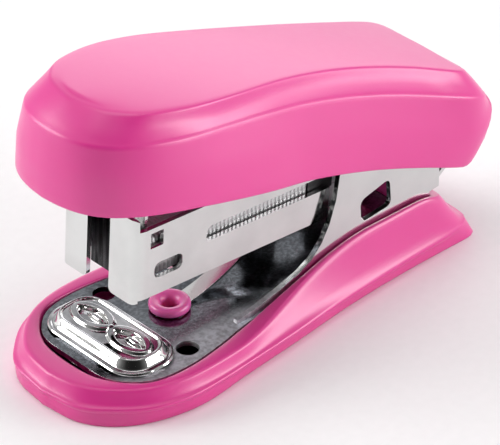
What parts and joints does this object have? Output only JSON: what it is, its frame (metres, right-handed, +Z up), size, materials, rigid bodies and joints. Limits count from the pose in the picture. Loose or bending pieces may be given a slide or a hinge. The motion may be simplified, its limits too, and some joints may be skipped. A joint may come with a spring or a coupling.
{
  "type": "stapler",
  "caption": "Pocket desk stapler: moulded handle and base, bright steel magazine on a rear hinge, pressed anvil, pusher and springs.",
  "frame": {"origin": "middle of the outline on the surface the base stands on", "axes": "+X towards the hinge end, nose towards -X, +Y across, +Z up"},
  "size_m": [0.074, 0.0292, 0.0448],
  "materials": {
    "pink_plastic": "satin moulded pink",
    "bright_plate": "bright nickel plate",
    "steel_sheet": "plain zinc plated sheet",
    "spring_steel": "drawn wire",
    "staple_wire": "glued galvanised wire",
    "black_plastic": "moulded black"
  },
  "bodies": {
    "base": {"base_cover": "pink_plastic", "base_plate": "bright_plate", "anvil_plate": "bright_plate", "spring_boss": "pink_plastic", "lift_spring": "bright_plate", "pivot_pin": "steel_sheet", "pivot_clip": "steel_sheet", "spacer_near": "steel_sheet", "spacer_far": "steel_sheet"},
    "magazine": {"magazine_channel": "bright_plate", "staple_rail": "steel_sheet", "spring_rod": "steel_sheet", "staple_strip": "staple_wire", "pusher_spring": "spring_steel"},
    "pusher": {"pusher": "black_plastic"},
    "handle": {"handle_cover": "pink_plastic", "handle_frame": "steel_sheet", "driver_blade": "bright_plate", "driver_rivet_near": "steel_sheet", "driver_rivet_far": "steel_sheet", "handle_spring": "spring_steel"}
  },
  "joints": [
    {"name": "magazine_hinge", "type": "hinge", "parent": "base", "child": "magazine", "pos_m": [0.0243, 0, 0.018], "axis": [0, 1, 0], "range_deg": [-8, 0], "stiffness_Nm_per_rad": 0.5, "springref_deg": 8.59, "deforming": ["lift_spring"]},
    {"name": "handle_hinge", "type": "hinge", "parent": "magazine", "child": "handle", "pos_m": [0.0243, 0, 0.018], "axis": [0, 1, 0], "range_deg": [-9.5, 40], "stiffness_Nm_per_rad": 0.6, "springref_deg": 0.69, "deforming": ["handle_spring"]},
    {"name": "pusher_slide", "type": "slide", "parent": "magazine", "child": "pusher", "axis": [0.9979, 0, -0.0649], "range_m": [0, 0.0035], "stiffness_N_per_m": 60, "springref_m": -0.02, "deforming": ["pusher_spring"]}
  ]
}
